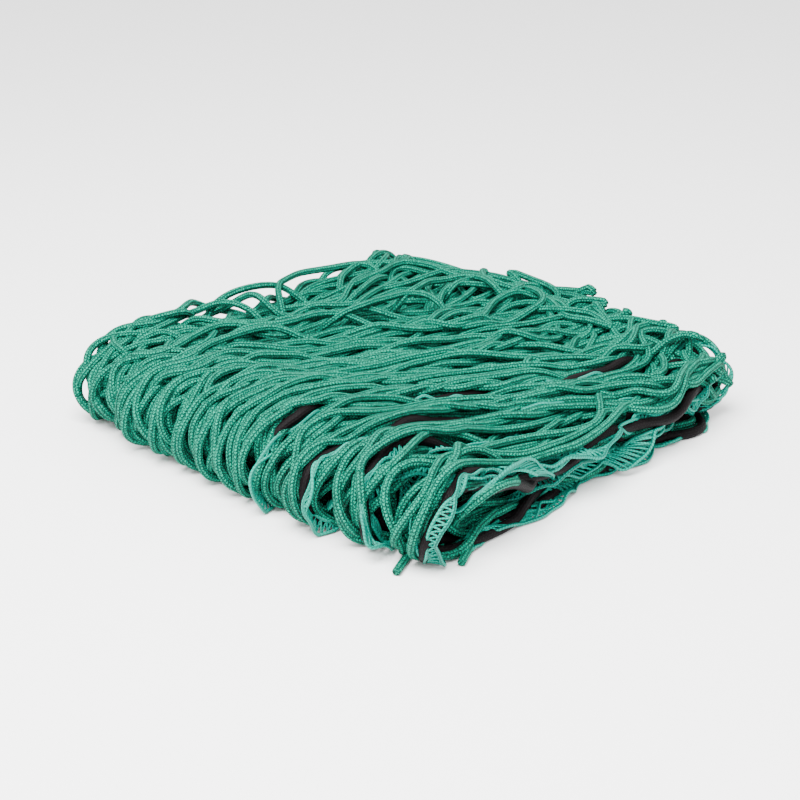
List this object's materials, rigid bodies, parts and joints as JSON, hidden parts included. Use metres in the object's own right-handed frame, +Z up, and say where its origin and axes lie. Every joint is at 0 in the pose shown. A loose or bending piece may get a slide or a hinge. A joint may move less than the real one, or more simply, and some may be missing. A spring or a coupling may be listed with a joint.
{
  "type": "elastic-edged cargo net, folded",
  "caption": "Knotless knitted cargo net with a black elastic edge cord, folded into a flat bundle, for covering a load on a trailer.",
  "frame": {"origin": "middle of the bundle's footprint, on the surface that it lies on", "axes": "+Z up through the layers, +X along the strands from the nested wraps to the open end, +Y from the selvedge side to the folded side"},
  "size_m": [0.2824, 0.28, 0.0477],
  "materials": {
    "netting": "teal-green knitted polypropylene cord",
    "selvedge": "shiny green chain-knitted thread",
    "elastic": "black braided sheath over a rubber core",
    "sleeve": "plain pressed metal sleeve"
  },
  "bodies": {
    "root": {"net_layer_1": "netting", "net_layer_2": "netting", "net_layer_3": "netting", "net_layer_4": "netting", "net_layer_5": "netting", "net_layer_6": "netting", "net_wrap_1": "netting", "net_wrap_2": "netting", "net_wrap_3": "netting", "net_turn_1": "netting", "net_turn_2": "netting", "selvedge_lane_1": "selvedge", "selvedge_lane_2": "selvedge", "selvedge_lane_3": "selvedge", "selvedge_lane_4": "selvedge", "elastic_lane_1": "elastic", "elastic_lane_2": "elastic", "elastic_lane_3": "elastic", "elastic_lane_4": "elastic", "elastic_end_inner": "elastic", "elastic_end_outer": "elastic", "elastic_hem_inner": "elastic", "elastic_hem_outer": "elastic", "elastic_crimp": "sleeve"}
  },
  "joints": []
}
